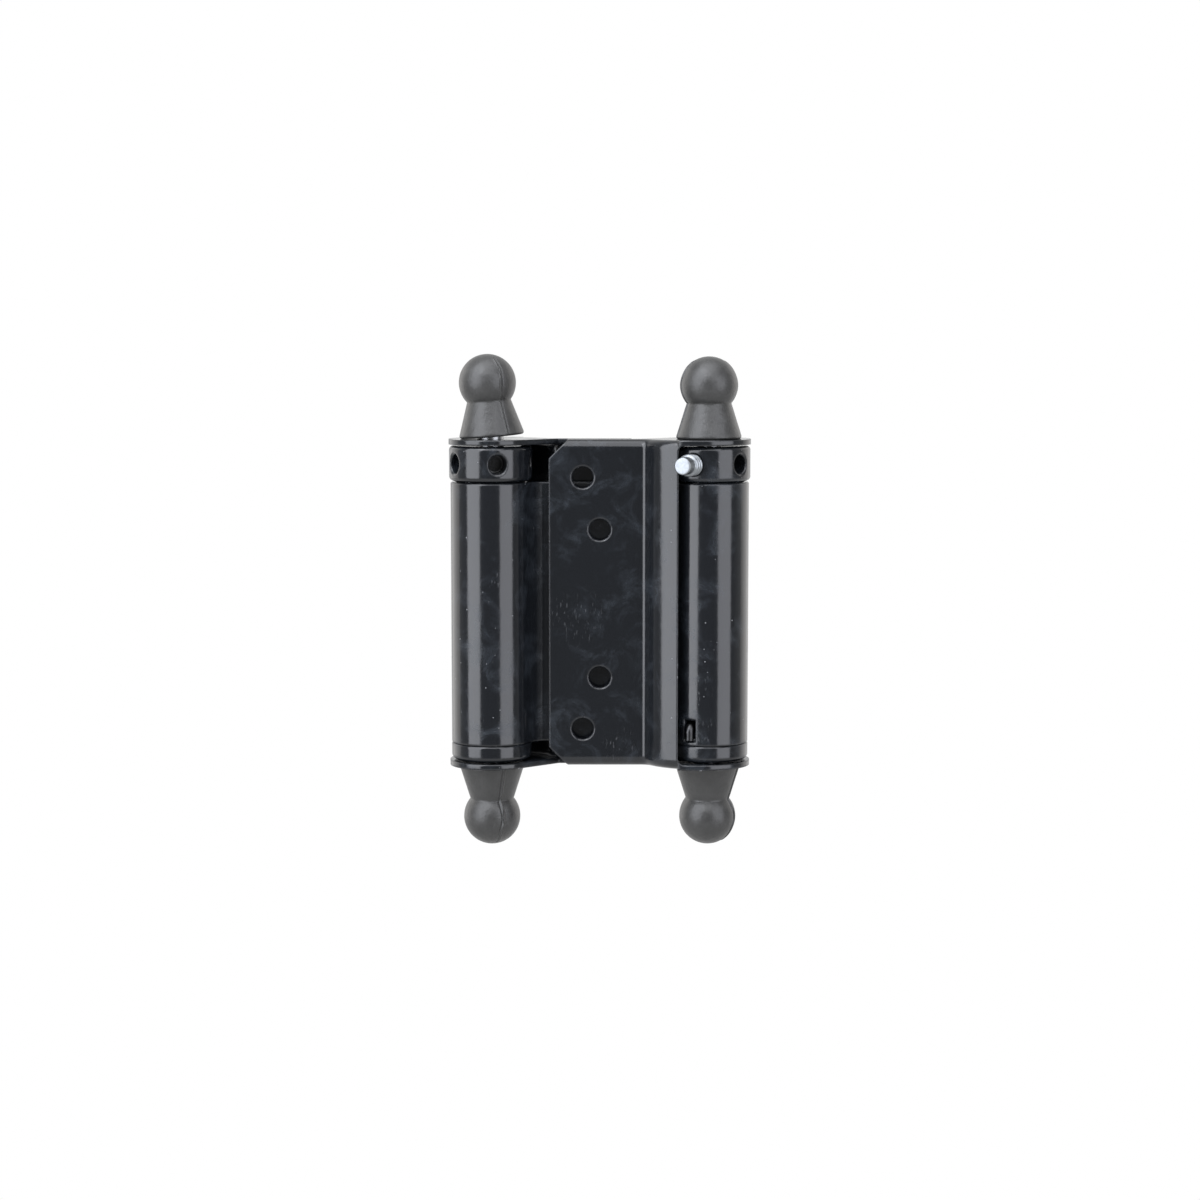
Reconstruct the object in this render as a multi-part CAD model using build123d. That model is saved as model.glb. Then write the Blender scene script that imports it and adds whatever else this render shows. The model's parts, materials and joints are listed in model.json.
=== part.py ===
from build123d import *
import math
import os

# Double action spring hinge, shown closed and upright. All sizes are in millimetres.
# X runs to the right, Y to the back and Z up. The origin lies midway between the two pivot axes,
# half way up the leaves. The front leaf turns on the right pin and lies over the front of the web.
# The rear half of the hinge is the front half turned half round about Z.

# Sheet metal of the leaves and barrels
leaf_height = 75.0
sheet = 1.2
fold_inside = 1.0
pin_spacing = 49.8

# Barrels: two tubes and the web between them, rolled from one sheet
barrel_dia = 18.4
root_bend = 5.0
seam_gap = 0.15
barrel_edge = 0.25

# Pivot pin and the room it turns in
pin_dia = 6.0
pin_stub = 8.0
pin_chamfer = 0.6
pin_fit = 0.03
running_fit = 0.08
end_float = 0.3

# Tension collar on top of each barrel
collar_lip = 0.3
collar_height = 8.0
collar_edge = 1.0
collar_hole_dia = 4.2
collar_hole_count = 5
collar_hole_depth = 5.0
collar_hole_rim = 0.5
collar_boss_height = 3.0
boss_fit = 0.15

# End cap in the lower end of each barrel
cap_flange = 3.8
cap_edge = 1.1
cap_rim = 0.45
cap_plug_height = 3.0
plug_fit = 0.05

# Torsion spring in each barrel
wire_dia = 2.0
spring_room = 1.0
coil_gap = 0.4
coil_elbow = 1.6
leg_end_gap = 0.6
leg_fit = 0.2
hook_bend = 1.4
hook_drop = 3.1
slot_angle = 240.0
slot_lift = 4.6
slot_fit = 0.3
slot_rim = 0.45

# Leaf: a flat pressed away from the web, then bulged round the barrel
leaf_web_gap = 2.0
leaf_edge_gap = 3.8
crease_inside = 1.5
bulge_room = 3.7
bulge_turn = 33.0
bulge_edge_in = 7.2
ear_overhang = 0.1
ear_corner = 1.4
flange_gap = 1.0
corner_cut = 4.4

# Screw holes, measured from the leaf's free edge and from its top and bottom
hole_dia = 4.8
hole_rim = 0.35
outer_hole_in = 7.7
outer_hole_inset = 8.65
inner_hole_in = 11.6
inner_hole_inset = 20.55

# Tension pin: shank in the collar, ribbed shoulder against the leaf, plain tip
tension_shank_dia = 3.9
tension_shoulder_dia = 5.1
tension_groove_depth = 0.3
tension_rib = 0.7
tension_rib_count = 3
tension_tip = 3.0
tension_chamfer = 0.35
tension_fit = 0.15

# Moulded finials, one of them pushed on crooked
finial_height = 18.7
finial_ball_dia = 13.0
finial_neck_dia = 10.0
finial_base_dia = 15.1
finial_edge = 0.5
finial_tilt = 4.5
finial_slack = 0.05

# Places that follow from the sizes above
pin_x = pin_spacing / 2
pin_radius = pin_dia / 2
barrel_radius = barrel_dia / 2
barrel_inner = barrel_radius - sheet
barrel_middle = barrel_radius - sheet / 2
collar_radius = barrel_radius + collar_lip
ear_top = leaf_height / 2
ear_under = ear_top - sheet
collar_top = ear_under - end_float
collar_bottom = collar_top - collar_height
collar_middle = (collar_top + collar_bottom) / 2
boss_bottom = collar_bottom - collar_boss_height
boss_radius = barrel_inner - boss_fit
barrel_top = collar_bottom - end_float
cap_bottom = end_float - ear_under
barrel_bottom = cap_bottom + cap_flange

# The bulge is an arc that runs on, without a corner, into the ear's round end
fold_outside = fold_inside + sheet
ear_radius = collar_radius + ear_overhang
bulge_outer = collar_radius + bulge_room + sheet
bulge_inner = bulge_outer - sheet
bulge_offset = bulge_outer - ear_radius
bulge_x = pin_x - bulge_offset * math.sin(math.radians(bulge_turn))
bulge_y = bulge_offset * math.cos(math.radians(bulge_turn))
face_y = -(sheet / 2 + leaf_web_gap + sheet)
flange_y = -flange_gap / 2
free_x = collar_radius + leaf_edge_gap - pin_x
bulge_edge_x = pin_x - bulge_edge_in

# The crease between flat and bulge is an arc that touches both
crease_y = face_y - crease_inside
crease_x = bulge_x - math.sqrt((bulge_outer + crease_inside) ** 2 - (bulge_y - crease_y) ** 2)
crease_turn = math.degrees(math.atan2(bulge_y - crease_y, bulge_x - crease_x))

# The coil sits between the cap's plug and the collar's boss
coil_radius = barrel_inner - spring_room - wire_dia / 2
coil_pitch = wire_dia + coil_gap
coil_bottom = barrel_bottom + slot_lift
coil_top = boss_bottom - coil_elbow - wire_dia / 2
coil_start = slot_angle + math.degrees(math.asin(coil_elbow / barrel_middle))
coil_end = coil_start + 360 * (coil_top - coil_bottom) / coil_pitch
leg_turn = math.degrees(math.atan2(coil_elbow, coil_radius))
leg_radius = math.hypot(coil_radius, coil_elbow)

# The slot takes the hook on the spring's lower leg, and faces straight out of the barrel
slot_turn = coil_start - math.degrees(math.asin(coil_elbow / barrel_radius))
slot_width = wire_dia + 2 * slot_fit
slot_height = wire_dia / 2 + hook_drop + 2 * slot_fit
slot_middle = coil_bottom + wire_dia / 2 + slot_fit - slot_height / 2

# The tension pin's shoulder rests beside the outer corner of the leaf's free edge
bulge_edge_y = bulge_y - math.sqrt(bulge_outer**2 - (bulge_x - bulge_edge_x) ** 2)
shoulder_side = tension_shoulder_dia / 2 + tension_fit
edge_reach = math.hypot(bulge_edge_in, bulge_edge_y)
edge_angle = math.degrees(math.atan2(-bulge_edge_y, bulge_edge_in))
tension_angle = 270 + edge_angle - math.degrees(math.acos(shoulder_side / edge_reach))


def front(shape):
    """Place a shape made about its own pivot axis on the right-hand pin."""
    return Pos(pin_x, 0, 0) * shape


def rear(shape):
    """Turn a piece of the front half into its twin in the rear half."""
    return Rot(0, 0, 180) * shape


def ring_sector(x, y, inner, outer, start, sweep):
    """Flat band between two arcs about (x, y), from the start angle through the sweep."""
    outer_arc = CenterArc((x, y), outer, start, sweep)
    inner_arc = CenterArc((x, y), inner, start, sweep)
    first_end = Line(outer_arc @ 0, inner_arc @ 0)
    last_end = Line(outer_arc @ 1, inner_arc @ 1)
    return make_face([outer_arc, inner_arc, first_end, last_end])


def tangent_point(x, y, radius, side):
    """Point where a line from (x, y) touches a circle about the right pin; side is 1 or -1."""
    distance = math.hypot(x - pin_x, y)
    turn = math.atan2(y, x - pin_x) + side * math.acos(radius / distance)
    return pin_x + radius * math.cos(turn), radius * math.sin(turn)


def barrel_section():
    """Half of the S section: the right tube, its root bend and half of the web."""
    root_middle = root_bend + sheet / 2
    root_reach = math.sqrt(barrel_middle**2 + 2 * barrel_middle * root_middle)
    root_angle = math.degrees(math.atan2(root_middle, root_reach))
    root_x = pin_x - root_reach
    root_distance = barrel_middle + root_middle
    seam_reach = root_bend + sheet + seam_gap
    seam_cosine = (root_distance**2 + barrel_radius**2 - seam_reach**2) / (2 * root_distance * barrel_radius)
    tube_sweep = math.degrees(math.acos(seam_cosine)) - 360
    tube = ring_sector(pin_x, 0, barrel_inner, barrel_radius, 180 - root_angle, tube_sweep)
    root = ring_sector(root_x, root_middle, root_bend, root_bend + sheet, -90, 90 - root_angle)
    web = Pos(root_x / 2, 0) * Rectangle(root_x, sheet)
    return tube + root + web


def make_centre_barrels():
    """Two tubes and their web in one rolled sheet, with a rimmed slot for each spring's lower leg."""
    half = barrel_section()
    section = half + Rot(0, 0, 180) * half
    barrels = Pos(0, 0, barrel_bottom) * extrude(section, barrel_top - barrel_bottom)
    ends = barrels.faces().sort_by(Axis.Z)
    barrels = chamfer(ends[0].edges() + ends[-1].edges(), barrel_edge)
    slot = Pos(barrel_radius, 0, 0) * Box(2 * (sheet + slot_rim), slot_width, slot_height)
    opening = Plane.YZ * Rectangle(slot_width, slot_height)
    flare = Pos(barrel_radius - slot_rim, 0, 0) * extrude(opening, 2 * slot_rim, taper=-45)
    slot = front(Rot(0, 0, slot_turn) * Pos(0, 0, slot_middle) * (slot + flare))
    return barrels - slot - rear(slot)


def leaf_face(back):
    """Plan area behind the leaf's skin; back is how far behind the outer skin its front lies."""
    flat_y = face_y + back
    crease_radius = crease_inside + back
    bulge_radius = bulge_outer - back
    edge_sweep = math.degrees(math.acos((bulge_x - bulge_edge_x) / bulge_radius)) - crease_turn
    flat = Line((free_x, flat_y), (crease_x, flat_y))
    crease = CenterArc((crease_x, crease_y), crease_radius, 90, crease_turn - 90)
    bulge = CenterArc((bulge_x, bulge_y), bulge_radius, 180 + crease_turn, edge_sweep)
    right = Line(bulge @ 1, (bulge_edge_x, ear_radius))
    rear_edge = Line((bulge_edge_x, ear_radius), (free_x, ear_radius))
    left = Line((free_x, ear_radius), (free_x, flat_y))
    return make_face([flat, crease, bulge, right, rear_edge, left])


def leaf_block(back, half_height, fold):
    """Upright block behind a skin of the leaf, with its front edges rounded by the fold radius."""
    block = extrude(leaf_face(back), half_height, both=True)
    ends = block.edges().filter_by(lambda edge: abs(edge.center().Z) > half_height / 2)
    front_edges = ends.filter_by(lambda edge: edge.center().Y < face_y + back + fold / 2)
    return fillet(front_edges, fold)


def ear_outline():
    """Plan of the folded top: narrow flange on the flat, wide ear with a round end at the pin."""
    back_corner = (crease_x, flange_y)
    back_touch = tangent_point(crease_x, flange_y, ear_radius, -1)
    end_start = bulge_turn - 90
    end_sweep = math.degrees(math.atan2(back_touch[1], back_touch[0] - pin_x)) - end_start
    edge_turn = 180 + math.degrees(math.acos((bulge_x - bulge_edge_x) / bulge_outer))
    bulge = CenterArc((bulge_x, bulge_y), bulge_outer, edge_turn, end_start + 360 - edge_turn)
    end = CenterArc((pin_x, 0), ear_radius, end_start, end_sweep)
    back_edge = Line(end @ 1, back_corner)
    flange_edge = Line(back_corner, (free_x, flange_y))
    free_edge = Line((free_x, flange_y), (free_x, (bulge @ 0).Y))
    front_edge = Line((free_x, (bulge @ 0).Y), bulge @ 0)
    return make_face([bulge, end, back_edge, flange_edge, free_edge, front_edge])


def ear_gusset():
    """Round inside corner where the bulge's free edge runs into the upper ear."""
    corner_x = bulge_edge_x + ear_corner
    corner_z = ear_under - ear_corner
    square = Pos(bulge_edge_x + ear_corner / 2, corner_z + ear_corner / 2) * Rectangle(ear_corner, ear_corner)
    profile = square - Pos(corner_x, corner_z) * Circle(ear_corner)
    prism = extrude(Plane.XZ * profile, 2 * ear_radius, both=True)
    skin = extrude(ring_sector(bulge_x, bulge_y, bulge_inner, bulge_outer, 180, 180), ear_top)
    return prism & skin


def rimmed_hole(diameter, rim, depth):
    """Drill along Z that enters from above at Z = 0, with its rim broken at 45 degrees."""
    radius = diameter / 2
    corners = [(0, -depth), (radius, -depth), (radius, -rim), (radius + 2 * rim, rim), (0, rim)]
    profile = make_face(Polyline(corners, close=True))
    return revolve(Plane.XZ * profile, Axis.Z)


def screw_hole(x, z):
    """Through hole with a broken outer rim, looking out of the front of the leaf."""
    return Pos(x, face_y, z) * Rot(90, 0, 0) * rimmed_hole(hole_dia, hole_rim, 2 * sheet)


def make_front_leaf():
    """Pressed leaf: flat, crease and bulge, folded at top and bottom into flanges and pin ears."""
    outer = leaf_block(0, ear_top, fold_outside)
    inner = leaf_block(sheet, ear_under, fold_inside)
    plan = extrude(ear_outline(), ear_top, both=True)
    pressing = (outer - inner) & plan
    ear_side = Pos(bulge_edge_x + leaf_height, 0, 0) * Box(2 * leaf_height, leaf_height, leaf_height)
    ear = Pos(0, 0, ear_under) * extrude(ear_outline(), sheet) & ear_side
    gusset = ear_gusset()
    leaf = pressing + ear + mirror(ear, Plane.XY) + gusset + mirror(gusset, Plane.XY)
    cut_side = corner_cut * math.sqrt(2)
    for z in (-ear_top, ear_top):
        leaf -= Pos(free_x, face_y, z) * Rot(0, 45, 0) * Box(cut_side, 4 * fold_outside, cut_side)
    for hole_in, inset in ((outer_hole_in, outer_hole_inset), (inner_hole_in, inner_hole_inset)):
        for z in (inset - ear_top, ear_top - inset):
            leaf -= screw_hole(free_x + hole_in, z)
    return leaf - front(Cylinder(pin_radius + pin_fit, 2 * leaf_height))


def make_pivot_pin():
    """Plain steel pin through both ears, with a stub beyond each for a finial."""
    pin = Cylinder(pin_radius, leaf_height + 2 * pin_stub)
    return chamfer(pin.edges().filter_by(GeomType.CIRCLE), pin_chamfer)


def make_collar():
    """Tension collar: drum with rimmed bar holes round it, and a boss that centres it in the barrel."""
    drum = Cylinder(collar_radius, collar_height)
    drum = fillet(drum.edges().filter_by(GeomType.CIRCLE), collar_edge)
    boss_height = collar_boss_height + collar_edge
    boss = Pos(0, 0, boss_bottom + boss_height / 2) * Cylinder(boss_radius, boss_height)
    collar = Pos(0, 0, collar_middle) * drum + boss
    hole = rimmed_hole(collar_hole_dia, collar_hole_rim, collar_hole_depth)
    hole = Pos(collar_radius, 0, collar_middle) * Rot(0, 90, 0) * hole
    for index in range(collar_hole_count):
        collar -= Rot(0, 0, tension_angle + 360 * index / collar_hole_count) * hole
    leg_hole_height = 2 * collar_boss_height
    leg_hole = Cylinder(wire_dia / 2 + leg_fit, leg_hole_height)
    collar -= Rot(0, 0, coil_end + leg_turn) * Pos(leg_radius, 0, boss_bottom) * leg_hole
    return collar - Cylinder(pin_radius + running_fit, 2 * leaf_height)


def make_end_cap():
    """Turned cap: flange as wide as the barrel, rounded at foot and rim, and a plug inside the tube."""
    flange = Pos(0, 0, cap_bottom + cap_flange / 2) * Cylinder(barrel_radius, cap_flange)
    foot = flange.edges().filter_by(GeomType.CIRCLE).sort_by(Axis.Z)[0]
    flange = fillet(foot, cap_edge)
    rim = flange.edges().filter_by(GeomType.CIRCLE).sort_by(Axis.Z)[-1]
    flange = fillet(rim, cap_rim)
    plug = Pos(0, 0, barrel_bottom + cap_plug_height / 2)
    plug = plug * Cylinder(barrel_inner - plug_fit, cap_plug_height)
    return flange + plug - Cylinder(pin_radius + running_fit, 2 * leaf_height)


def make_spring():
    """Right-hand torsion spring: lower leg hooked over the barrel, upper leg up into the collar."""
    coil = Pos(0, 0, coil_bottom) * Helix(coil_pitch, coil_top - coil_bottom, coil_radius)
    low_turn = coil % 0
    low_bend_end = coil @ 0 + Vector(coil_elbow, 0, 0) - low_turn * coil_elbow
    low_bend = TangentArc(coil @ 0, low_bend_end, tangent=-low_turn)
    hook_end = low_bend_end + Vector(hook_bend, 0, -hook_bend)
    hook = TangentArc(low_bend_end, hook_end, tangent=low_bend % 1)
    hook_leg = Line(hook_end, hook_end - Vector(0, 0, hook_drop - hook_bend))
    high_turn = coil % 1
    high_bend_end = coil @ 1 + high_turn * coil_elbow + Vector(0, 0, coil_elbow)
    high_bend = TangentArc(coil @ 1, high_bend_end, tangent=high_turn)
    high_leg_length = wire_dia / 2 + collar_boss_height - leg_end_gap
    high_leg = Line(high_bend_end, high_bend_end + (high_bend % 1) * high_leg_length)
    path = Wire([hook_leg, hook, low_bend, coil, high_bend, high_leg])
    section = Plane(hook_leg @ 1, z_dir=hook_leg % 1) * Circle(wire_dia / 2)
    return Rot(0, 0, coil_start) * sweep(section, path=path)


def make_finial():
    """Moulded finial standing on Z = 0: ball on a flared neck, with a blind hole for the pin."""
    ball_radius = finial_ball_dia / 2
    neck_radius = finial_neck_dia / 2
    base_radius = finial_base_dia / 2
    ball_z = finial_height - ball_radius
    neck_z = ball_z - math.sqrt(ball_radius**2 - neck_radius**2)
    neck_angle = math.degrees(math.atan2(neck_z - ball_z, neck_radius))
    ball = CenterArc((0, ball_z), ball_radius, neck_angle, 90 - neck_angle)
    outline = [
        Line((0, 0), (base_radius, 0)),
        Line((base_radius, 0), (neck_radius, neck_z)),
        ball,
        Line((0, finial_height), (0, 0)),
    ]
    finial = revolve(Plane.XZ * make_face(outline), Axis.Z)
    finial = fillet(finial.edges().filter_by(GeomType.CIRCLE).sort_by(Axis.Z)[0], finial_edge)
    slack = finial_slack + pin_stub / 2 * math.tan(math.radians(finial_tilt))
    bore = Cylinder(pin_radius + slack, 2 * (pin_stub + finial_slack + slack))
    return finial - bore


def tilt_finial(finial):
    """Push a finial over to the left about the edge of its base, centred again on the pin."""
    edge = finial_base_dia / 2
    shift = pin_stub / 2 * math.sin(math.radians(finial_tilt))
    return Pos(shift - edge, 0, 0) * Rot(0, -finial_tilt, 0) * Pos(edge, 0, 0) * finial


def make_tension_pin():
    """Turned zinc pin lying along a collar hole: shank, ribbed shoulder and plain tip."""
    shank_radius = tension_shank_dia / 2
    shoulder_radius = tension_shoulder_dia / 2
    groove_radius = shoulder_radius - tension_groove_depth
    shank_start = collar_radius - collar_hole_depth + tension_fit
    shoulder_start = collar_radius + tension_fit
    shoulder_length = (2 * tension_rib_count - 1) * tension_rib
    tip_end = shoulder_start + shoulder_length + tension_tip
    shank_length = tip_end - shank_start
    pin = Pos(0, 0, shank_start + shank_length / 2) * Cylinder(shank_radius, shank_length)
    pin = chamfer(pin.edges().filter_by(GeomType.CIRCLE), tension_chamfer)
    pin += Pos(0, 0, shoulder_start + shoulder_length / 2) * Cylinder(groove_radius, shoulder_length)
    for index in range(tension_rib_count):
        rib_middle = shoulder_start + (2 * index + 0.5) * tension_rib
        pin += Pos(0, 0, rib_middle) * Cylinder(shoulder_radius, tension_rib)
    return Pos(0, 0, collar_middle) * Rot(0, 0, tension_angle) * Rot(0, 90, 0) * pin


def make_nodes():
    """Every piece of the hinge by name, in place."""
    front_pieces = {
        "leaf": make_front_leaf(),
        "pivot_pin": front(make_pivot_pin()),
        "collar": front(make_collar()),
        "end_cap": front(make_end_cap()),
        "spring": front(make_spring()),
        "tension_pin": front(make_tension_pin()),
    }
    nodes = {"centre_barrels": make_centre_barrels()}
    for name, piece in front_pieces.items():
        nodes["front_" + name] = piece
        nodes["rear_" + name] = rear(piece)
    finial = make_finial()
    upright = Pos(0, 0, ear_top)
    hanging = Rot(180, 0, 0) * upright
    nodes["front_top_finial"] = front(upright * finial)
    nodes["front_bottom_finial"] = front(hanging * finial)
    nodes["rear_top_finial"] = Pos(-pin_x, 0, 0) * upright * tilt_finial(finial)
    nodes["rear_bottom_finial"] = rear(front(hanging * finial))
    return nodes


os.makedirs("parts", exist_ok=True)
for node_name, solid in make_nodes().items():
    export_step(solid, os.path.join("parts", node_name + ".step"))
print("outer holes", leaf_height - 2 * outer_hole_inset, "mm apart")
print("inner holes", leaf_height - 2 * inner_hole_inset, "mm apart")
print("tension pin at", round(tension_angle, 2), "degrees, crease at X", round(crease_x, 2))
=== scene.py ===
# %% [markdown]
# # A black double action spring hinge
# The hinge hangs a swing door that opens both ways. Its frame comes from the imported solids: every
# object here is in metres, with X to the right, Y to the back and Z up. The pressed sheet, the pivot
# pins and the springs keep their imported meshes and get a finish. The moulded finials and the ribbed
# tension pins are modelled again, because their fine forms show.

import json
import math

import bpy
import numpy as np
from mathutils import Matrix, Vector


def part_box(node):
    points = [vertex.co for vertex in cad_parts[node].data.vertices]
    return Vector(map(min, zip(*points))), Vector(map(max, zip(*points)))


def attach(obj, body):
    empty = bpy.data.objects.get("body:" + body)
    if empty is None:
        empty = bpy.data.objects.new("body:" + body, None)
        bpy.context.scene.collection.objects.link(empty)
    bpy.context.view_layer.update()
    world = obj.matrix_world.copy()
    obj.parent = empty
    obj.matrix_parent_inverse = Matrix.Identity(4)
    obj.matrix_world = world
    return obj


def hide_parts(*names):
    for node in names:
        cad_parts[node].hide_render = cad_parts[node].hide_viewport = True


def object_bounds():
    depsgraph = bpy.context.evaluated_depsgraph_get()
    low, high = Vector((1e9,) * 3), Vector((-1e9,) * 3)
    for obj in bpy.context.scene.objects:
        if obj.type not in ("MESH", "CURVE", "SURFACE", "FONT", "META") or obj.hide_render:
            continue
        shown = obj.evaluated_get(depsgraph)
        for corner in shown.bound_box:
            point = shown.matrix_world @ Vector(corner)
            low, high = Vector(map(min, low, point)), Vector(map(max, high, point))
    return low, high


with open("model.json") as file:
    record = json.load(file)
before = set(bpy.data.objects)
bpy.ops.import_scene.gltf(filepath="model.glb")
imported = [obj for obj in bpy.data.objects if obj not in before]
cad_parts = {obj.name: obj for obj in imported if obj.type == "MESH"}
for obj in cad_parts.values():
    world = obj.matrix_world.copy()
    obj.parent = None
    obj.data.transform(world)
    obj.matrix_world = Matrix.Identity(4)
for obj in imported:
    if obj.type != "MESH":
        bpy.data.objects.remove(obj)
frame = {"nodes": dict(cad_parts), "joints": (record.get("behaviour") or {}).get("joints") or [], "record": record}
cad_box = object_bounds()
print("nodes:", len(frame["nodes"]), "box:", cad_box)

# %% [markdown]
# ## Camera
# The picture looks straight at the front of the hinge from a little above, with a long lens: the
# barrels draw together only slightly towards the bottom. A camera can be aimed with a constraint, or
# placed by its angle and distance. The second keeps the viewing angle in plain sight.

# %% Place the camera
MM = 0.001
IMAGE_PIXELS = 1200
FOCAL_PIXELS = 2613
SENSOR_MM = 36.0
camera_distance = 600 * MM
camera_elevation = math.radians(6.2)
camera_aim = Vector((0.06, 0.0, 0.48)) * MM

camera_data = bpy.data.cameras.new("photo_camera")
camera_data.sensor_width = SENSOR_MM
camera_data.lens = SENSOR_MM * FOCAL_PIXELS / IMAGE_PIXELS
camera = bpy.data.objects.new("photo_camera", camera_data)
bpy.context.scene.collection.objects.link(camera)
camera_back = Vector((0.0, -math.cos(camera_elevation), math.sin(camera_elevation)))
camera.location = camera_aim + camera_back * camera_distance
camera.rotation_euler = camera_back.to_track_quat("Z", "Y").to_euler()
bpy.context.scene.camera = camera
bpy.context.scene.view_settings.view_transform = "Standard"
print("lens", camera_data.lens, "mm")

# %% [markdown]
# ## Helpers for finishes
# A finish is a small tree of shader nodes. Colours are written as sRGB hex, as a paint chart gives
# them, and one function turns them to the linear values that the renderer works in. One more function
# adds a node, sets it and links it, so each finish below reads as a list.

# %% Colour and node helpers


def linear(hex_colour):
    """sRGB hex to linear RGBA: each channel is divided by 12.92, or raised to 2.4 above the toe."""
    channels = np.array([int(hex_colour[i : i + 2], 16) for i in (1, 3, 5)]) / 255
    toe = channels / 12.92
    power = ((channels + 0.055) / 1.055) ** 2.4
    return (*np.where(channels <= 0.04045, toe, power).tolist(), 1.0)


def add_node(tree, kind, inputs=None, **settings):
    """Add one shader node; inputs gives each socket a value or the output socket that feeds it."""
    made = tree.nodes.new(kind)
    for name, value in settings.items():
        setattr(made, name, value)
    for name, value in (inputs or {}).items():
        if isinstance(value, bpy.types.NodeSocket):
            tree.links.new(value, made.inputs[name])
        else:
            made.inputs[name].default_value = value
    return made


def new_finish(name, **shader_values):
    """A material with one Principled shader; the values are set on the shader's own sockets."""
    finish = bpy.data.materials.new(name)
    finish.use_nodes = True
    tree = finish.node_tree
    tree.nodes.clear()
    shader = add_node(tree, "ShaderNodeBsdfPrincipled")
    for socket, value in shader_values.items():
        shader.inputs[socket.replace("_", " ")].default_value = value
    add_node(tree, "ShaderNodeOutputMaterial", {"Surface": shader.outputs["BSDF"]})
    return finish, tree, shader


# A colour mix keeps its colour sockets after its number and vector ones
MIX_A, MIX_B, MIX_RESULT = 6, 7, 2
print("white is", linear("#ffffff"), "middle grey", linear("#777777"))

# %% [markdown]
# ## Black stove enamel
# The leaves, barrels, collars and caps are steel sheet dipped in black enamel and baked. The enamel
# draws back from sharp corners, so every edge of the sheet ends up round and shows as a thin pale line.
# The mesh keeps the sheet's own corners, and a Bevel node turns the normals near them instead, which
# costs no faces. The enamel levels to a gloss that waves slowly along the sheet, with a trace of
# orange peel.

# %% Enamel: round edges, slow waves and peel
enamel, tree, shader = new_finish("black_stove_enamel", IOR=1.5, Metallic=0.0)
place = add_node(tree, "ShaderNodeTexCoord").outputs["Object"]

edge_radius_mm = 0.6
edge_samples = 8
round_edge = add_node(
    tree, "ShaderNodeBevel", {"Radius": edge_radius_mm * MM}, samples=edge_samples
).outputs["Normal"]

wave_mm = 13.0
wave_depth_mm = 0.12
waves = add_node(tree, "ShaderNodeTexNoise", {"Vector": place, "Scale": 1 / (wave_mm * MM), "Detail": 1.0})
wave_bump = add_node(
    tree,
    "ShaderNodeBump",
    {"Height": waves.outputs["Fac"], "Distance": wave_depth_mm * MM, "Normal": round_edge},
)

peel_mm = 1.6
peel_depth_mm = 0.01
peel = add_node(tree, "ShaderNodeTexNoise", {"Vector": place, "Scale": 1 / (peel_mm * MM), "Detail": 1.0})
peel_bump = add_node(
    tree,
    "ShaderNodeBump",
    {"Height": peel.outputs["Fac"], "Distance": peel_depth_mm * MM, "Normal": wave_bump.outputs["Normal"]},
)
print("enamel edges round to", edge_radius_mm, "mm, waves", wave_mm, "mm long")

# %% [markdown]
# ### Dust nibs
# Dust that settles before the enamel is baked leaves nibs about a third of a millimetre wide. They could
# be tiny meshes, but a Voronoi pattern scatters them at no cost: each of its cells has a seed point and a
# random value. Where the value is high it gives the size of a nib, and what lies within that size of the
# seed is marked.

# %% Enamel: dust nibs
nib_spacing_mm = 1.5
nib_threshold = 0.5
# The largest nib's radius and the soft edge of all nibs, as shares of the spacing
nib_largest = 0.13
nib_soft_edge = 0.03
nib_cells = add_node(tree, "ShaderNodeTexVoronoi", {"Vector": place, "Scale": 1 / (nib_spacing_mm * MM)})
nib_size = add_node(
    tree,
    "ShaderNodeMapRange",
    {"Value": nib_cells.outputs["Color"], "From Min": nib_threshold, "To Max": nib_largest},
).outputs["Result"]
nib_reach = add_node(
    tree, "ShaderNodeMath", {0: nib_size, 1: nib_cells.outputs["Distance"]}, operation="SUBTRACT"
).outputs[0]
nibs = add_node(
    tree, "ShaderNodeMapRange", {"Value": nib_reach, "From Max": nib_soft_edge}
).outputs["Result"]
print("nibs", nib_spacing_mm, "mm apart")

# %% [markdown]
# ### Scuffs and rubs
# Storage leaves scuffs in a few places, and handling leaves dull clouds. Both could be painted on an
# image. Here a scuff is a fine noise, stretched along one axis, that shows within reach of a chosen
# point, so it stays sharp at any distance. The rubs are one slow noise with many finer ones on it.

# %% Enamel: scuffs
# Each scuff: X, Y and Z of its middle and its reach, in millimetres
scuff_places = [
    (-24.0, -9.2, 6.0, 2.2),
    (-27.5, -8.8, -27.0, 3.0),
    (-5.0, -3.8, -3.0, 8.0),
    (4.6, -3.8, -33.0, 5.0),
    (18.3, -10.6, 3.0, 4.0),
    (22.7, -9.0, -18.5, 4.0),
    (23.3, -9.1, -29.0, 4.0),
]
patches = 0.0
for x, y, z, reach in scuff_places:
    away = add_node(
        tree, "ShaderNodeVectorMath", {0: place, 1: Vector((x, y, z)) * MM}, operation="DISTANCE"
    ).outputs["Value"]
    patch = add_node(tree, "ShaderNodeMapRange", {"Value": away, "From Min": reach * MM, "From Max": 0.0})
    patches = add_node(
        tree, "ShaderNodeMath", {0: patches, 1: patch.outputs["Result"]}, operation="MAXIMUM"
    ).outputs[0]

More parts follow.
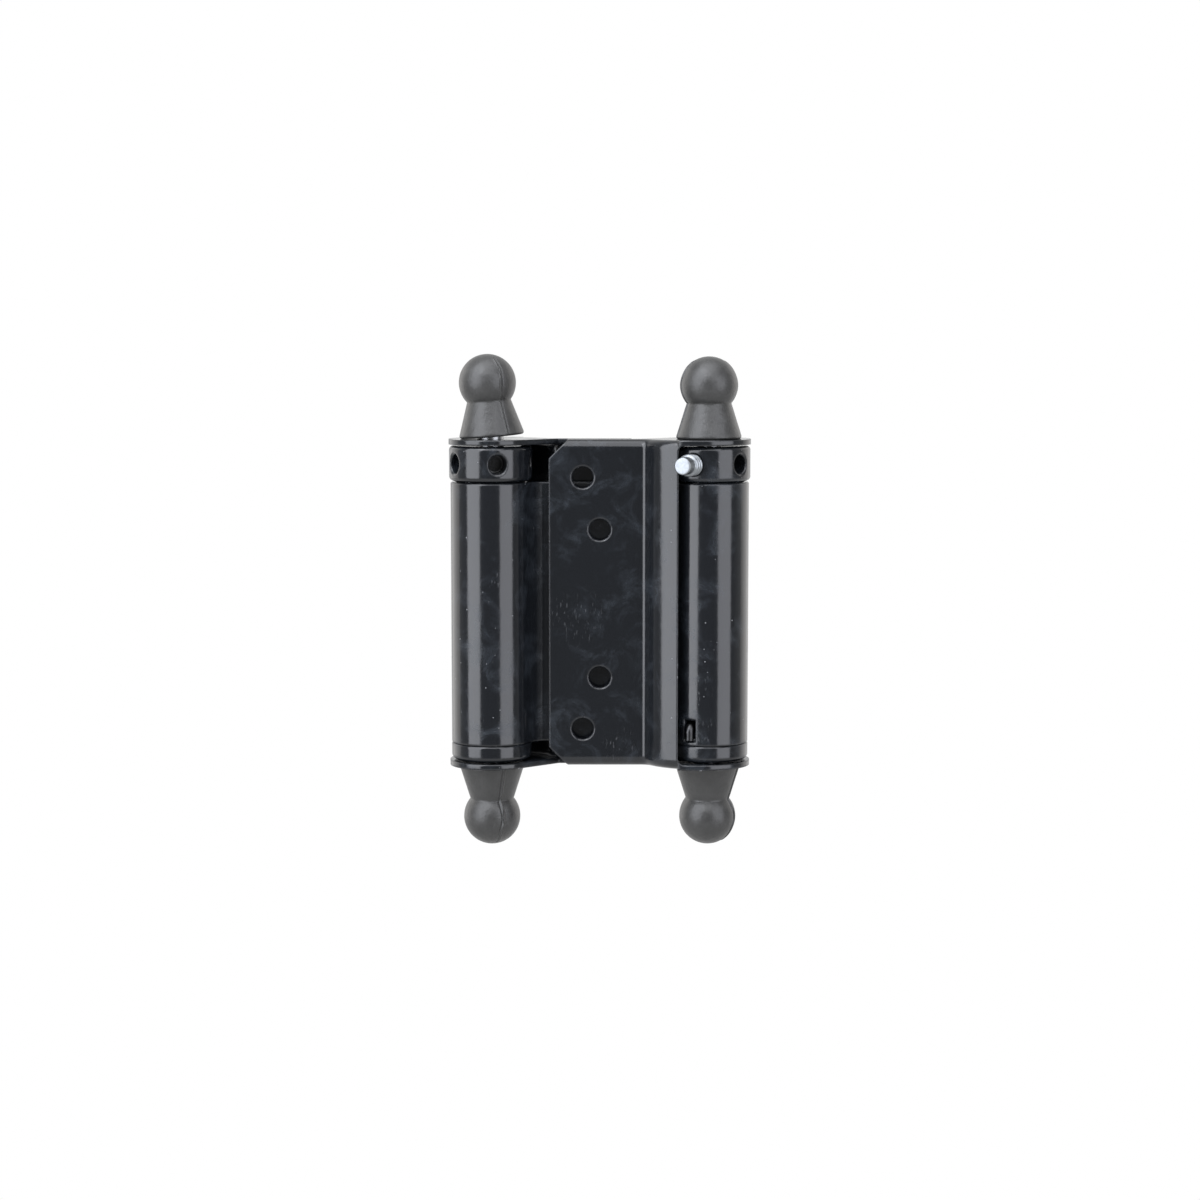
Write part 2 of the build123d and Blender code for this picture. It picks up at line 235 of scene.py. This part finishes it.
scratch_mm = (0.45, 0.45, 1.6)
scratch_turn = (0.4, 0.5, 0.2)
scratch_scale = [1 / (side * MM) for side in scratch_mm]
along_scratch = add_node(
    tree, "ShaderNodeMapping", {"Vector": place, "Rotation": scratch_turn, "Scale": scratch_scale}
).outputs["Vector"]
scratch_noise = add_node(tree, "ShaderNodeTexNoise", {"Vector": along_scratch, "Scale": 1.0, "Detail": 5.0})
scratch_start, scratch_full = 0.6, 0.8
scratch_strength = 0.6
scratches = add_node(
    tree,
    "ShaderNodeMapRange",
    {
        "Value": scratch_noise.outputs["Fac"],
        "From Min": scratch_start,
        "From Max": scratch_full,
        "To Max": scratch_strength,
    },
).outputs["Result"]
scuffs = add_node(tree, "ShaderNodeMath", {0: patches, 1: scratches}, operation="MULTIPLY").outputs[0]
print(len(scuff_places), "scuffs")

# %% Enamel: rubs
rub_mm = 8.0
rub_start, rub_full = 0.5, 0.72
rub_noise = add_node(
    tree,
    "ShaderNodeTexNoise",
    {"Vector": place, "Scale": 1 / (rub_mm * MM), "Detail": 7.0, "Roughness": 0.7, "Distortion": 0.6},
)
rubs = add_node(
    tree,
    "ShaderNodeMapRange",
    {"Value": rub_noise.outputs["Fac"], "From Min": rub_start, "From Max": rub_full},
).outputs["Result"]
print("rubs", rub_mm, "mm across")

# %% [markdown]
# ### Chips
# The sheet's corners are chipped in places to the grey primer. The corners could be marked by hand on the
# mesh. The Bevel node already knows them: near a corner the rounded normal leaves the true one, so
# their dot product falls below 1. A fine noise picks where along the corner the enamel has gone.

# %% Enamel: chips
corner_start, corner_full = 0.97, 0.85
chip_mm = 2.2
chip_start, chip_full = 0.64, 0.68
true_normal = add_node(tree, "ShaderNodeNewGeometry").outputs["Normal"]
normal_match = add_node(
    tree, "ShaderNodeVectorMath", {0: round_edge, 1: true_normal}, operation="DOT_PRODUCT"
).outputs["Value"]
near_corner = add_node(
    tree, "ShaderNodeMapRange", {"Value": normal_match, "From Min": corner_start, "From Max": corner_full}
).outputs["Result"]
chip_noise = add_node(
    tree,
    "ShaderNodeTexNoise",
    {"Vector": place, "Scale": 1 / (chip_mm * MM), "Detail": 4.0, "Roughness": 0.7},
)
chip_places = add_node(
    tree,
    "ShaderNodeMapRange",
    {"Value": chip_noise.outputs["Fac"], "From Min": chip_start, "From Max": chip_full},
).outputs["Result"]
chips = add_node(tree, "ShaderNodeMath", {0: near_corner, 1: chip_places}, operation="MULTIPLY").outputs[0]
print("chips", chip_mm, "mm long")

# %% [markdown]
# ### Colour and gloss
# Clean enamel is a cold black with a sharp gloss. Rubbed enamel is a little paler and duller, dust and
# scuffs are grey, and chips show the primer. One mix after another lays them over each other, with the
# chips on top, and the same masks dull the gloss.

# %% Enamel: colour and gloss
clean_black = linear("#121417")
rubbed_black = linear("#25292e")
mark_grey = linear("#727477")
primer_grey = linear("#8b8d90")
clean_roughness = 0.14
dull_roughness = 0.3
mark_height_mm = 0.05

rubbed_colour = add_node(
    tree, "ShaderNodeMix", {0: rubs, MIX_A: clean_black, MIX_B: rubbed_black}, data_type="RGBA"
).outputs[MIX_RESULT]
fine_marks = add_node(tree, "ShaderNodeMath", {0: nibs, 1: scuffs}, operation="MAXIMUM").outputs[0]
marked_colour = add_node(
    tree, "ShaderNodeMix", {0: fine_marks, MIX_A: rubbed_colour, MIX_B: mark_grey}, data_type="RGBA"
).outputs[MIX_RESULT]
chipped_colour = add_node(
    tree, "ShaderNodeMix", {0: chips, MIX_A: marked_colour, MIX_B: primer_grey}, data_type="RGBA"
).outputs[MIX_RESULT]
tree.links.new(chipped_colour, shader.inputs["Base Color"])

all_marks = add_node(tree, "ShaderNodeMath", {0: fine_marks, 1: chips}, operation="MAXIMUM").outputs[0]
dullness = add_node(tree, "ShaderNodeMath", {0: all_marks, 1: rubs}, operation="MAXIMUM").outputs[0]
gloss = add_node(
    tree, "ShaderNodeMapRange", {"Value": dullness, "To Min": clean_roughness, "To Max": dull_roughness}
).outputs["Result"]
tree.links.new(gloss, shader.inputs["Roughness"])
mark_bump = add_node(
    tree,
    "ShaderNodeBump",
    {"Height": fine_marks, "Distance": mark_height_mm * MM, "Normal": peel_bump.outputs["Normal"]},
)
tree.links.new(mark_bump.outputs["Normal"], shader.inputs["Normal"])
print("enamel nodes:", len(tree.nodes))

# %% [markdown]
# ## Satin moulded plastic
# The finials are moulded in dark grey plastic. Its skin copies the mould: a fine grain, and flow marks a
# few millimetres wide where the plastic met the cold steel. Two noises give both, and the wider one also
# shifts the colour and the gloss, as flow marks do.

# %% Plastic
satin_plastic, tree, shader = new_finish("satin_moulded_plastic", IOR=1.5)
place = add_node(tree, "ShaderNodeTexCoord").outputs["Object"]
# A mould's real grain is finer than a pixel, so it is drawn as coarse as it needs to show
grain_mm = 0.45
grain_depth_mm = 0.025
flow_mm = 3.5
flow_depth_mm = 0.2
dark_plastic = linear("#1d1d1d")
pale_plastic = linear("#393938")
smooth_skin, rough_skin = 0.28, 0.48

grain = add_node(tree, "ShaderNodeTexNoise", {"Vector": place, "Scale": 1 / (grain_mm * MM), "Detail": 3.0})
flow = add_node(
    tree,
    "ShaderNodeTexNoise",
    {"Vector": place, "Scale": 1 / (flow_mm * MM), "Detail": 5.0, "Roughness": 0.65},
).outputs["Fac"]
plastic_colour = add_node(
    tree, "ShaderNodeMix", {0: flow, MIX_A: dark_plastic, MIX_B: pale_plastic}, data_type="RGBA"
)
tree.links.new(plastic_colour.outputs[MIX_RESULT], shader.inputs["Base Color"])
satin = add_node(
    tree, "ShaderNodeMapRange", {"Value": flow, "To Min": smooth_skin, "To Max": rough_skin}
)
tree.links.new(satin.outputs["Result"], shader.inputs["Roughness"])
grain_bump = add_node(
    tree, "ShaderNodeBump", {"Height": grain.outputs["Fac"], "Distance": grain_depth_mm * MM}
)
flow_bump = add_node(
    tree,
    "ShaderNodeBump",
    {"Height": flow, "Distance": flow_depth_mm * MM, "Normal": grain_bump.outputs["Normal"]},
)
tree.links.new(flow_bump.outputs["Normal"], shader.inputs["Normal"])
print("plastic nodes:", len(tree.nodes))

# %% [markdown]
# ## Zinc and steel
# The tension pins are steel, turned on an automatic lathe and plated with bright zinc. The pivot pins are
# drawn steel rod, and the springs are oil-tempered wire. All three are bare metal that differs in colour,
# gloss and the coarseness of its surface, so one function makes them.

# %% Metals


def worked_metal(name, dark, light, roughness, grain_mm, grain_depth_mm):
    """Bare metal with a fine grain from its making, which shifts its brightness and roughens it."""
    finish, tree, shader = new_finish(name, Metallic=1.0, Roughness=roughness)
    place = add_node(tree, "ShaderNodeTexCoord").outputs["Object"]
    grain = add_node(
        tree, "ShaderNodeTexNoise", {"Vector": place, "Scale": 1 / (grain_mm * MM), "Detail": 4.0}
    ).outputs["Fac"]
    colour = add_node(
        tree, "ShaderNodeMix", {0: grain, MIX_A: linear(dark), MIX_B: linear(light)}, data_type="RGBA"
    )
    tree.links.new(colour.outputs[MIX_RESULT], shader.inputs["Base Color"])
    bump = add_node(tree, "ShaderNodeBump", {"Height": grain, "Distance": grain_depth_mm * MM})
    tree.links.new(bump.outputs["Normal"], shader.inputs["Normal"])
    return finish


# Each metal: name, dark and light tone, roughness, and its grain's size and depth in millimetres. Real
# turning and drawing lines are finer than a pixel, so the grain is drawn as coarse as it needs to show
bright_zinc = worked_metal("bright_zinc_plate", "#727679", "#9ca0a4", 0.36, 0.5, 0.03)
drawn_steel = worked_metal("drawn_steel_rod", "#8c8d8f", "#b4b5b7", 0.3, 0.8, 0.01)
spring_wire = worked_metal("oil_tempered_wire", "#2b2b2c", "#4c4c4d", 0.32, 0.6, 0.01)

finish_of_slot = {
    "lacquer": enamel,
    "moulded_finial": satin_plastic,
    "zinc_plate": bright_zinc,
    "bright_steel": drawn_steel,
    "spring_steel": spring_wire,
}
for subpart in frame["record"]["subparts"]:
    mesh = frame["nodes"][subpart["node"]].data
    mesh.materials.clear()
    mesh.materials.append(finish_of_slot[subpart["material_slot"]])
print("finishes:", sorted(finish_of_slot))

# %% [markdown]
# ## Spun shapes
# The finials and the tension pins are round, so each is an outline spun about an axis. A Screw modifier
# could spin it, but a grid of outline points by angles lets ridges and dents be added to the same
# arrays before they become a mesh.

# %% Outline and spinning helpers


def stretch(start, end, count):
    """Points from start to end in equal steps, without the end itself."""
    steps = np.arange(count)[:, None] / count
    return np.array(start) + steps * (np.array(end) - np.array(start))


def arc(centre, radius, first, last, count):
    """Points round a centre: centre plus radius times (cos, sin), from the first angle up to the last."""
    angles = np.radians(first + (last - first) * np.arange(count) / count)
    return np.array(centre) + radius * np.stack([np.cos(angles), np.sin(angles)], axis=1)


def spun_mesh(name, radius, height, angles):
    """Closed skin of a spun shape. radius is a grid of rows (along the outline) by columns (round the
    axis); a point is (radius cos angle, radius sin angle, height). The first and last rows lie on the
    axis and become single points, so the poles are closed."""
    rows, columns = radius.shape
    x = radius * np.cos(angles)
    y = radius * np.sin(angles)
    points = np.stack([x, y, np.broadcast_to(height, radius.shape)], axis=-1)
    rings = points[1:-1].reshape(-1, 3)
    poles = np.stack([points[0, 0], points[-1, 0]])
    index = np.arange((rows - 2) * columns).reshape(rows - 2, columns)
    turned = np.roll(index, -1, axis=1)
    quads = np.stack([index[:-1], turned[:-1], turned[1:], index[1:]], axis=-1).reshape(-1, 4)
    low_pole = np.full(columns, index.size)
    high_pole = low_pole + 1
    low_fan = np.stack([low_pole, turned[0], index[0]], axis=-1)
    high_fan = np.stack([high_pole, index[-1], turned[-1]], axis=-1)
    mesh = bpy.data.meshes.new(name)
    faces = quads.tolist() + low_fan.tolist() + high_fan.tolist()
    mesh.from_pydata(np.concatenate([rings, poles]).tolist(), [], faces)
    mesh.polygons.foreach_set("use_smooth", np.ones(len(mesh.polygons), bool))
    return mesh


def add_piece(mesh, finish, body, node):
    """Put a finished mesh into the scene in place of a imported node, riding on that node's body."""
    mesh.materials.append(finish)
    piece = bpy.data.objects.new(mesh.name, mesh)
    bpy.context.scene.collection.objects.link(piece)
    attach(piece, body)
    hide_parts(node)
    print(piece.name, len(mesh.polygons), "faces")


print("middle of a quarter circle:", arc((0, 0), 1, 0, 90, count=2)[1])

# %% [markdown]
# ## Finials
# Each pin ends in a moulded ball on a flared neck, with a blind bore for the pin. The outline runs from the
# bottom of the bore, round the foot, up the flare and over the ball. Straight runs and arcs keep its
# corners where the solid has them.

# %% Finial outline, in millimetres
finial_height = 18.7
ball_radius = 6.5
neck_radius = 5.0
base_radius = 7.55
base_edge = 0.5
bore_radius = 3.36
bore_depth = 8.4

ball_z = finial_height - ball_radius
neck_z = ball_z - math.sqrt(ball_radius**2 - neck_radius**2)
neck_angle = math.degrees(math.atan2(neck_z - ball_z, neck_radius))
flare = math.atan2(base_radius - neck_radius, neck_z)
foot_radius = base_radius - base_edge * (1 + math.sin(flare)) / math.cos(flare)
foot_end = (foot_radius + base_edge * math.cos(flare), base_edge + base_edge * math.sin(flare))
finial_outline = np.concatenate([
    stretch((0.0, bore_depth), (bore_radius, bore_depth), count=4),
    stretch((bore_radius, bore_depth), (bore_radius, 0.0), count=6),
    stretch((bore_radius, 0.0), (foot_radius, 0.0), count=6),
    arc((foot_radius, base_edge), base_edge, -90, math.degrees(flare), count=8),
    stretch(foot_end, (neck_radius, neck_z), count=22),
    arc((0.0, ball_z), ball_radius, neck_angle, 90, count=60),
    [(0.0, finial_height)],
])
# The fin keeps to rows wider than the bore, so the bore and the crown of the ball stay round
outer_rows = finial_outline[:, :1] > bore_radius
print("finial outline:", len(finial_outline), "points, neck at", round(neck_z, 2), "mm")

# %% [markdown]
# The mould opened in two halves, so a fine fin of plastic runs up two opposite sides, with a worn groove
# beside it, and one finial shows the round mark of the gate. Bump could draw them, but the fin breaks the
# outline of the ball, so it is real height. The columns of the grid crowd together near the fin.

# %% Finial mesh
fin_width_mm = 0.42
fin_height_mm = 0.2
fin_kink = math.radians(2.2)
kink_radians_per_mm = 0.9
kink_start = 0.6
kink_middle_mm = 14
kink_spread_mm2 = 30
gate_turn = math.radians(24)
gate_rise_mm = 0.8
gate_radius_mm = 0.8
gate_rim = 1.4
gate_depth_mm = 0.18
even_columns = 144
fin_reach_degrees = 8
fin_step_degrees = 0.8

even_angles = np.linspace(0, 2 * math.pi, even_columns, endpoint=False)
near_fin = np.arange(-fin_reach_degrees, fin_reach_degrees, fin_step_degrees)
far_fin = np.arange(180 - fin_reach_degrees, 180 + fin_reach_degrees, fin_step_degrees)
fin_angles = np.radians(np.concatenate([near_fin, far_fin])) % (2 * math.pi)
finial_angles = np.unique(np.round(np.concatenate([even_angles, fin_angles]), 5))


def finial_mesh(name, gate):
    """Spun outline with a fin at angles 0 and 180: the radius grows by the fin's height times a bell
    curve of the distance from the fin's line, which wanders a little with height, and shrinks by the same
    curve beside it, where the mould has worn. A gate mark takes a shallow round bite out of the ball."""
    radius = np.repeat(finial_outline[:, :1], len(finial_angles), axis=1)
    height = np.repeat(finial_outline[:, 1:], len(finial_angles), axis=1)
    kink_size = np.exp(-((height - kink_middle_mm) ** 2) / kink_spread_mm2)
    kink = fin_kink * np.sin(height * kink_radians_per_mm + kink_start) * kink_size
    from_fin = (finial_angles + math.pi / 2 - kink) % math.pi - math.pi / 2
    across = from_fin * radius
    fin = np.exp(-((across / (fin_width_mm / 2)) ** 2))
    groove = np.exp(-(((across - fin_width_mm) / (fin_width_mm / 2)) ** 2))
    radius = radius + fin_height_mm * (fin - groove) * outer_rows
    if gate:
        from_gate = (finial_angles - gate_turn + math.pi) % (2 * math.pi) - math.pi
        spread = np.hypot(from_gate * radius, height - ball_z - gate_rise_mm) / gate_radius_mm
        dent = np.clip(gate_rim - spread, 0, 1)
        radius = radius - gate_depth_mm * dent
    return spun_mesh(name, radius * MM, height * MM, finial_angles)


print("finial grid:", len(finial_outline), "by", len(finial_angles))

# %% [markdown]
# The pins stand on the swing joints' axes, and the ears of the leaves give the height, so both come from
# the frame. The upper left finial was pushed on crooked: it leans about the edge of its base, and its bore
# centres it on the pin again half way up the pin's end.

# %% Place the four finials
pivot_x = next(joint["pos_m"][0] for joint in frame["joints"] if joint["name"] == "front_swing") / MM
ear_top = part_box("front_leaf")[1].z / MM
# The pin's end stands this far out of the ear, in millimetres as above
pin_stub = 8.0
finial_lean = math.radians(4.5)
lean_shift = pin_stub / 2 * math.sin(finial_lean)

base_edge_to_axis = Matrix.Translation((base_radius, 0, 0))
lean_over = Matrix.Rotation(-finial_lean, 4, "Y")
back_on_pin = Matrix.Translation((lean_shift - base_radius, 0, 0))
crooked = back_on_pin @ lean_over @ base_edge_to_axis
standing = Matrix.Identity(4)
hanging = Matrix.Rotation(math.pi, 4, "X")
on_ear = Matrix.Translation((0, 0, ear_top))

# Each finial: its node, its pin's X, which way it stands, its lean, its fin's turn, its gate mark
finial_plan = [
    ("rear_top_finial", -pivot_x, standing, crooked, -59, False),
    ("front_top_finial", pivot_x, standing, standing, 8, False),
    ("rear_bottom_finial", -pivot_x, hanging, standing, 64, True),
    ("front_bottom_finial", pivot_x, hanging, standing, 20, False),
]
for node, x, way, lean, fin_turn, gate in finial_plan:
    mesh = finial_mesh("moulded_" + node, gate)
    placed_mm = Matrix.Translation((x, 0, 0)) @ way @ on_ear @ lean
    placed = Matrix.Scale(MM, 4) @ placed_mm @ Matrix.Scale(1 / MM, 4)
    mesh.transform(placed @ Matrix.Rotation(math.radians(fin_turn), 4, "Z"))
    add_piece(mesh, satin_plastic, node.split("_")[0] + "_leaf", node)

# %% [markdown]
# ## Tension pins
# A pin in each collar leans on the leaf's edge and keeps the spring wound. It is turned in one piece:
# a plain tip, a shoulder with rounded ribs and a shank in the collar. Its outline is a radius for each
# distance from the pivot, with the ribs as the arches of a sine wave.

# %% Tension pin outline, in millimetres
shank_radius = 1.95
shoulder_radius = 2.55
rib_depth = 0.5
rib_count = 3
rib_points = 59
shank_start = 4.65
shoulder_start = 9.65
shoulder_end = 13.15
tip_end = 16.15
tip_edge = 0.3

rib_steps = np.linspace(0, 1, rib_points + 2)[1:-1]
rib_wave = np.abs(np.sin(math.pi * rib_count * rib_steps))
rib_radius = shoulder_radius - rib_depth + rib_depth * rib_wave
rib_reach = shoulder_start + rib_steps * (shoulder_end - shoulder_start)
pin_outline = np.concatenate([
    [(0.0, shank_start)],
    stretch((shank_radius, shank_start), (shank_radius, shoulder_start), count=6),
    np.stack([rib_radius, rib_reach], axis=1),
    stretch((shank_radius, shoulder_end), (shank_radius, tip_end - tip_edge), count=8),
    arc((shank_radius - tip_edge, tip_end - tip_edge), tip_edge, 0, 90, count=6),
    stretch((shank_radius - tip_edge, tip_end), (0.0, tip_end), count=4),
    [(0.0, tip_end)],
])
print("pin outline:", len(pin_outline), "points")

# %% [markdown]
# The outline is spun about Z, laid down to point at the viewer and turned to its hole in the collar. The
# rear pin is the front one turned half round the hinge.

# %% Spin and place the tension pins
pin_columns = 64
tension_turn = math.radians(-23.82)
pin_low, pin_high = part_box("front_tension_pin")
collar_middle = (pin_low.z + pin_high.z) / 2

pin_angles = np.linspace(0, 2 * math.pi, pin_columns, endpoint=False)
pin_radius = np.repeat(pin_outline[:, :1], pin_columns, axis=1)
lay_down = Matrix.Rotation(math.radians(90), 4, "X")
aim_pin = Matrix.Rotation(tension_turn, 4, "Z")
to_collar = Matrix.Translation((pivot_x * MM, 0, collar_middle))
for half, half_turn in (("front", 0.0), ("rear", math.pi)):
    mesh = spun_mesh("zinc_" + half + "_tension_pin", pin_radius * MM, pin_outline[:, 1:] * MM, pin_angles)
    mesh.transform(Matrix.Rotation(half_turn, 4, "Z") @ to_collar @ aim_pin @ lay_down)
    add_piece(mesh, bright_zinc, half + "_collar", half + "_tension_pin")

# %% [markdown]
# ## Studio floor
# The hinge hangs well above a pale floor, which lights it from below. The floor is white to the camera and
# in mirrors, and has its own grey for all other light, so that it doesn't light the hinge too much. The
# Light Path node tells the kinds of rays apart.

# %% Floor


def any_ray(tree, *kinds):
    """1 for a ray of one of the named kinds, and 0 for any other."""
    rays = add_node(tree, "ShaderNodeLightPath")
    found = 0.0
    for kind in kinds:
        found = add_node(
            tree, "ShaderNodeMath", {0: found, 1: rays.outputs[kind]}, operation="MAXIMUM"
        ).outputs[0]
    return found


floor_drop = 260 * MM
floor_half = 1.0
floor_z = cad_box[0].z - floor_drop
floor_signs = ((-1, -1), (1, -1), (1, 1), (-1, 1))
floor_corners = [(x * floor_half, y * floor_half, floor_z) for x, y in floor_signs]
floor_mesh = bpy.data.meshes.new("studio_floor")
floor_mesh.from_pydata(floor_corners, [], [(0, 1, 2, 3)])
floor = bpy.data.objects.new("studio_floor", floor_mesh)
bpy.context.scene.collection.objects.link(floor)

white_floor, tree, shader = new_finish("white_floor", Roughness=0.9, Base_Color=linear("#b4b2b0"))
seen = any_ray(tree, "Is Camera Ray", "Is Glossy Ray", "Is Transmission Ray")
paper = add_node(tree, "ShaderNodeEmission", {"Color": (1, 1, 1, 1), "Strength": 1.0})
floor_look = add_node(
    tree, "ShaderNodeMixShader", {0: seen, 1: shader.outputs["BSDF"], 2: paper.outputs["Emission"]}
)
output = next(n for n in tree.nodes if n.type == "OUTPUT_MATERIAL")
tree.links.new(floor_look.outputs["Shader"], output.inputs["Surface"])
floor_mesh.materials.append(white_floor)
print("floor at", floor_z, "m")

# %% [markdown]
# ## Soft boxes
# Black gloss shows its surroundings more than its own colour. The hinge was lit between two tall soft
# boxes, so each barrel carries an upright pale band either side of a dark middle. Area lamps show in gloss
# at their own size and brightness, so their radiance is what is set, and the power follows from it.

# %% Lamps


def soft_box(name, azimuth, elevation, distance, width, height, radiance, tint):
    """Area lamp that faces the hinge; azimuth 0 is behind the camera, and turns to the right.
    Its power is radiance times area times pi."""
    lamp_data = bpy.data.lights.new(name, "AREA")
    lamp_data.shape = "RECTANGLE"
    lamp_data.size = width
    lamp_data.size_y = height
    lamp_data.energy = radiance * width * height * math.pi
    lamp_data.color = linear(tint)[:3]
    lamp = bpy.data.objects.new(name, lamp_data)
    turn = math.radians(azimuth)
    rise = math.radians(elevation)
    away = Vector((math.sin(turn) * math.cos(rise), -math.cos(turn) * math.cos(rise), math.sin(rise)))
    lamp.location = away * distance
    lamp.rotation_euler = away.to_track_quat("Z", "Y").to_euler()
    bpy.context.scene.collection.objects.link(lamp)


# Each lamp: name, azimuth and elevation in degrees, distance, width and height in metres, radiance, tint
soft_box("left_soft_box", -50, 27, 1.1, 0.9, 1.9, 4.9, "#f5f8ff")
soft_box("right_soft_box", 46, 8, 1.1, 0.8, 1.2, 3.5, "#f5f7ff")
soft_box("left_rim_box", -122, 5, 1.1, 0.9, 1.2, 1.0, "#fffbf7")
soft_box("right_rim_box", 127, 5, 1.1, 0.9, 1.2, 0.6, "#fff9f4")
soft_box("top_soft_box", 0, 66, 1.2, 1.2, 1.7, 3.2, "#f8faff")

# %% [markdown]
# ## Surroundings
# Behind the hinge hangs a white backdrop, and the room behind the camera is dim. A world could be one grey,
# but then the middle of the barrels would be as pale as their sides. So the world's level rises with Y, the
# camera sees white, and mirrors see white where the backdrop is.

# %% World
dim_level = 0.2
pale_level = 0.62
dim_until, pale_from = -0.4, 0.3
backdrop_start, backdrop_full = 0.1, 0.5

world = bpy.data.worlds.new("white_studio")
bpy.context.scene.world = world
world.use_nodes = True
tree = world.node_tree
tree.nodes.clear()
direction = add_node(tree, "ShaderNodeTexCoord").outputs["Generated"]
depth = add_node(tree, "ShaderNodeSeparateXYZ", {"Vector": direction}).outputs["Y"]
room = {"From Min": dim_until, "From Max": pale_from, "To Min": dim_level, "To Max": pale_level}
room_level = add_node(tree, "ShaderNodeMapRange", {"Value": depth, **room}).outputs["Result"]
backdrop = add_node(
    tree,
    "ShaderNodeMapRange",
    {"Value": depth, "From Min": backdrop_start, "From Max": backdrop_full},
).outputs["Result"]
mirrored = add_node(
    tree, "ShaderNodeMath", {0: any_ray(tree, "Is Glossy Ray"), 1: backdrop}, operation="MULTIPLY"
).outputs[0]
seen = any_ray(tree, "Is Camera Ray", "Is Transmission Ray")
shown = add_node(tree, "ShaderNodeMath", {0: seen, 1: mirrored}, operation="MAXIMUM").outputs[0]
level = add_node(tree, "ShaderNodeMath", {0: room_level, 1: shown}, operation="MAXIMUM").outputs[0]
sky = add_node(tree, "ShaderNodeBackground", {"Color": (1, 1, 1, 1), "Strength": level})
add_node(tree, "ShaderNodeOutputWorld", {"Surface": sky.outputs["Background"]})
print("world nodes:", len(tree.nodes))
